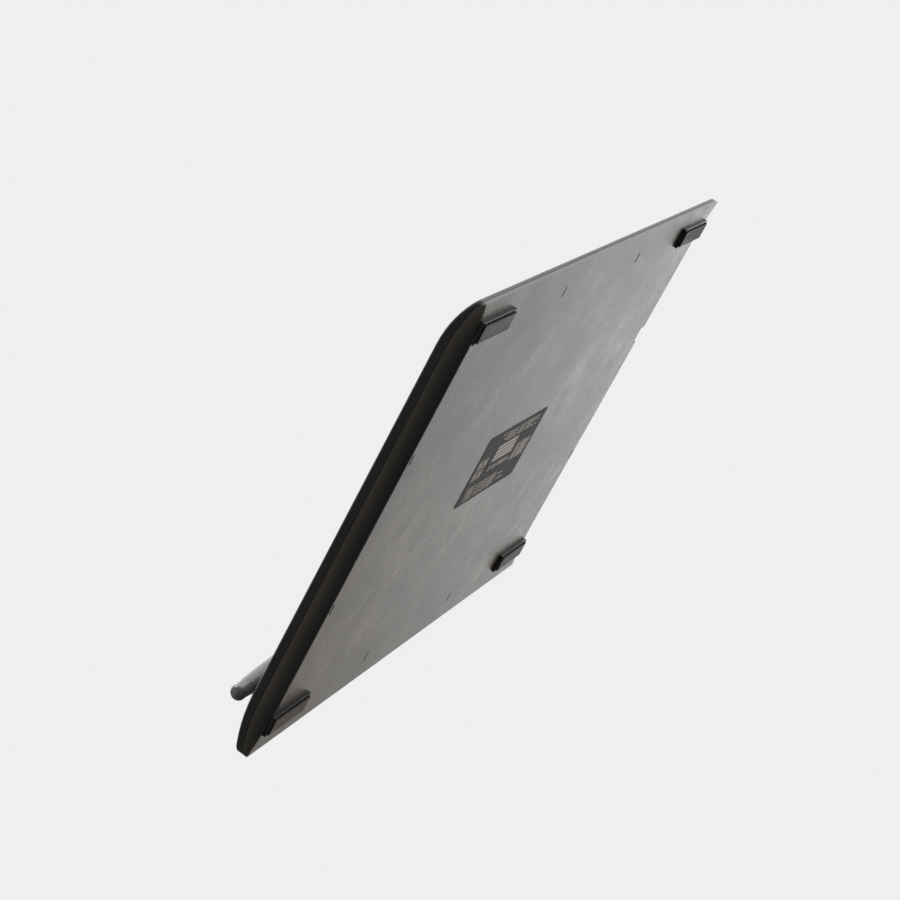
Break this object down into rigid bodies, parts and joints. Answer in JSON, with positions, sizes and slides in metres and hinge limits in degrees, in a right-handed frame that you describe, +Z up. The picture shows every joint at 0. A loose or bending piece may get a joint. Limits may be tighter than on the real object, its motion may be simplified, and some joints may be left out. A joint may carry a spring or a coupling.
{
  "type": "pen drawing tablet",
  "caption": "Thin pen drawing tablet with an arched front shell, leaning sides, rubber feet, press keys, a recessed cable socket, and a cordless pen lying on its face.",
  "frame": {"origin": "floor level under the middle of the tablet, which lies flat on its feet", "axes": "+X along the long side to the user's right, +Y from the user's edge to the far edge, +Z up out of the drawing face"},
  "size_m": [0.264, 0.2, 0.0221],
  "materials": {
    "shell": "fine satin, moulded",
    "cover": "finely mottled satin, moulded",
    "sheet": "paper-like matt texture",
    "label": "printed film",
    "feet": "matt rubber",
    "board": "coated glass-fibre board",
    "shield": "rolled sheet",
    "chip": "moulded case",
    "socket": "tinned steel",
    "flex": "polyimide film",
    "domes": "pressed steel",
    "led": "clear case",
    "pipe": "clear moulded",
    "screws": "blackened steel",
    "keys": "satin, moulded",
    "pen_cap": "gloss",
    "pen_body": "satin, moulded",
    "pen_grip": "soft-touch",
    "pen_switch": "gloss",
    "nib": "hard plastic",
    "ferrite": "sintered"
  },
  "bodies": {
    "tablet": {"front_shell": "shell", "back_cover": "cover", "drawing_sheet": "sheet", "rating_label": "label", "foot_near_left": "feet", "foot_far_left": "feet", "foot_near_right": "feet", "foot_far_right": "feet", "sensor_board": "board", "shield_plate": "shield", "controller_board": "board", "controller_chip": "chip", "cable_socket": "socket", "sensor_cable": "flex", "key_board": "board", "key_domes": "domes", "status_led": "led", "light_pipe": "pipe", "cover_screws": "screws", "board_screws": "screws"},
    "key_1": {"express_key_1": "keys"},
    "key_2": {"express_key_2": "keys"},
    "key_3": {"express_key_3": "keys"},
    "key_4": {"express_key_4": "keys"},
    "pen": {"pen_tail_cap": "pen_cap", "pen_rear_barrel": "pen_body", "pen_front_barrel": "pen_grip", "pen_coil": "ferrite", "pen_pressure_sensor": "chip", "pen_circuit_board": "board", "pen_switches": "chip"},
    "nib": {"pen_nib": "nib"},
    "side_switch": {"pen_side_switch": "pen_switch"}
  },
  "joints": [
    {"name": "express_key_1_press", "type": "slide", "parent": "tablet", "child": "key_1", "axis": [0, 0, -1], "range_m": [0, 0.0004], "stiffness_N_per_m": 900},
    {"name": "express_key_2_press", "type": "slide", "parent": "tablet", "child": "key_2", "axis": [0, 0, -1], "range_m": [0, 0.0004], "stiffness_N_per_m": 900},
    {"name": "express_key_3_press", "type": "slide", "parent": "tablet", "child": "key_3", "axis": [0, 0, -1], "range_m": [0, 0.0004], "stiffness_N_per_m": 900},
    {"name": "express_key_4_press", "type": "slide", "parent": "tablet", "child": "key_4", "axis": [0, 0, -1], "range_m": [0, 0.0004], "stiffness_N_per_m": 900},
    {"name": "pen_lift", "type": "slide", "parent": "tablet", "child": "pen", "axis": [0, 0, 1], "range_m": [0, 0.05]},
    {"name": "nib_press", "type": "slide", "parent": "pen", "child": "nib", "axis": [1, 0, 0], "range_m": [0, 0.0005], "stiffness_N_per_m": 2000},
    {"name": "side_switch_rock", "type": "hinge", "parent": "pen", "child": "side_switch", "pos_m": [0.0411, -0.0792, 0.01985], "axis": [0, 1, 0], "range_deg": [-2.2, 2.2], "stiffness_Nm_per_rad": 0.25}
  ]
}
